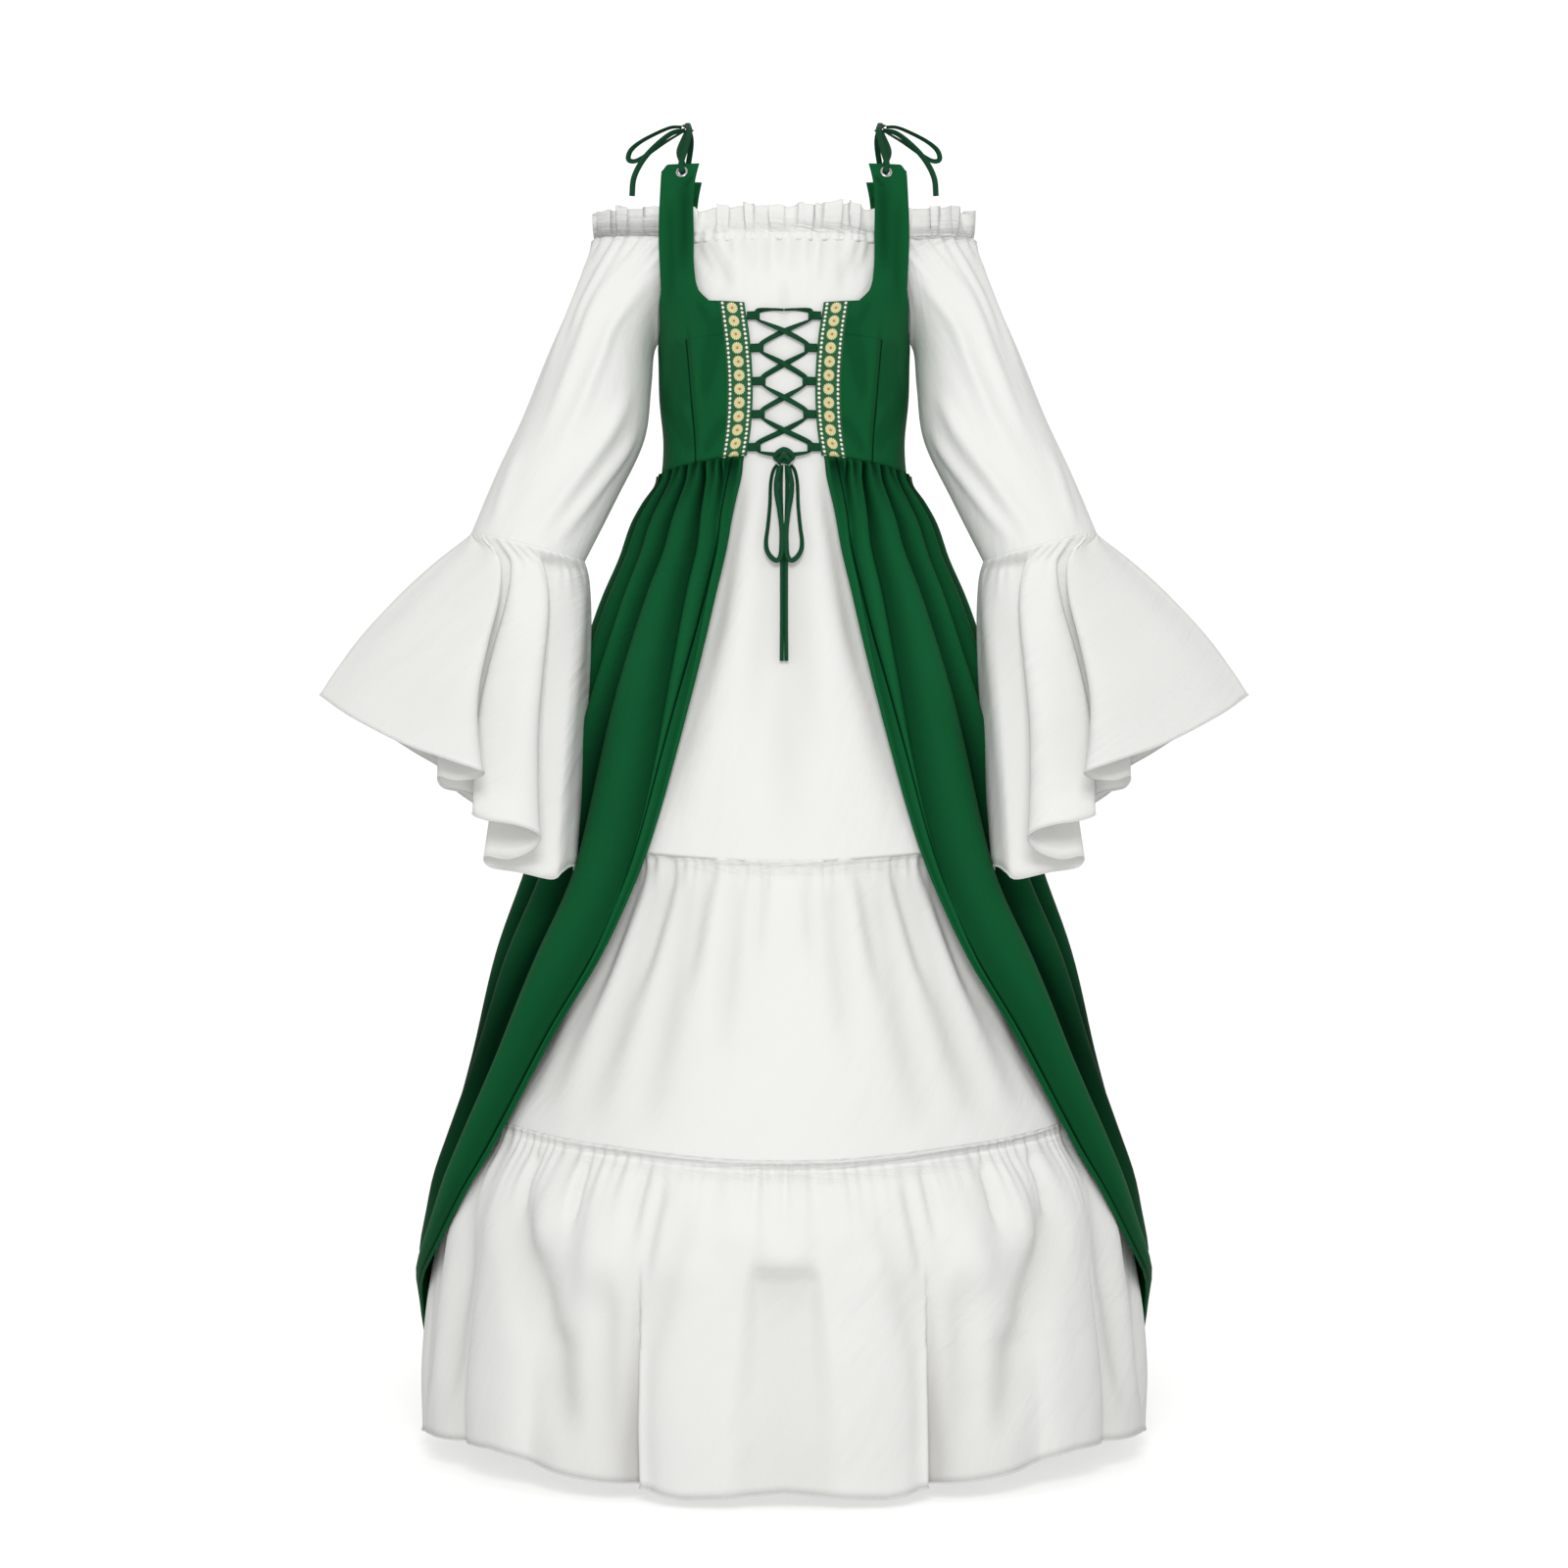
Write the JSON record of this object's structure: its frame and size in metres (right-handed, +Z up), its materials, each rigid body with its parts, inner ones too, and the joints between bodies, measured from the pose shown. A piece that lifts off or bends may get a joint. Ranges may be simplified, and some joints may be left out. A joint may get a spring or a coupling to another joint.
{
  "type": "medieval gown",
  "caption": "Laced green over-gown with an open front skirt, worn over a white off-shoulder chemise with bell sleeves and gathered tiers.",
  "frame": {"origin": "midway between the wearer's shoulders, at the height where the shoulder ties cross them", "axes": "+Z up, -Y the gown's front, +X the wearer's left"},
  "size_m": [0.9398, 0.6769, 1.3783],
  "materials": {
    "white_cloth": "smooth matt white polyester crepe with a slight sheen",
    "green_cloth": "smooth dark green polyester satin with a soft sheen",
    "green_trim": "woven green ribbon with gold flowers and cream dots",
    "green_lace": "matt dark green flat lace",
    "eyelet_metal": "polished silver-coloured metal"
  },
  "bodies": {
    "root": {"bodice_back": "green_cloth", "bodice_front_left": "green_cloth", "bodice_front_right": "green_cloth", "bow_loop_left": "green_lace", "bow_loop_right": "green_lace", "chemise_back": "white_cloth", "chemise_front": "white_cloth", "eyelet_back_left": "eyelet_metal", "eyelet_back_right": "eyelet_metal", "eyelet_front_left": "eyelet_metal", "eyelet_front_right": "eyelet_metal", "flounce_left": "white_cloth", "flounce_right": "white_cloth", "lace_knot": "green_lace", "lace_left": "green_lace", "lace_right": "green_lace", "lace_tab_1_left": "green_lace", "lace_tab_1_right": "green_lace", "lace_tab_2_left": "green_lace", "lace_tab_2_right": "green_lace", "lace_tab_3_left": "green_lace", "lace_tab_3_right": "green_lace", "lace_tab_4_left": "green_lace", "lace_tab_4_right": "green_lace", "lace_tab_5_left": "green_lace", "lace_tab_5_right": "green_lace", "lace_tail_left": "green_lace", "lace_tail_right": "green_lace", "neck_frill_back": "white_cloth", "neck_frill_front": "white_cloth", "overskirt_back": "green_cloth", "overskirt_left": "green_cloth", "overskirt_right": "green_cloth", "sleeve_frill_left": "white_cloth", "sleeve_frill_right": "white_cloth", "sleeve_left": "white_cloth", "sleeve_right": "white_cloth", "tie_back_left": "green_lace", "tie_back_right": "green_lace", "tie_front_left": "green_lace", "tie_front_right": "green_lace", "tie_knot_left": "green_lace", "tie_knot_right": "green_lace", "tie_loop_left": "green_lace", "tie_loop_right": "green_lace", "tie_tail_left": "green_lace", "tie_tail_right": "green_lace", "tier_bottom_back": "white_cloth", "tier_bottom_front": "white_cloth", "tier_middle_back": "white_cloth", "tier_middle_front": "white_cloth", "trim_left": "green_trim", "trim_right": "green_trim"}
  },
  "joints": []
}
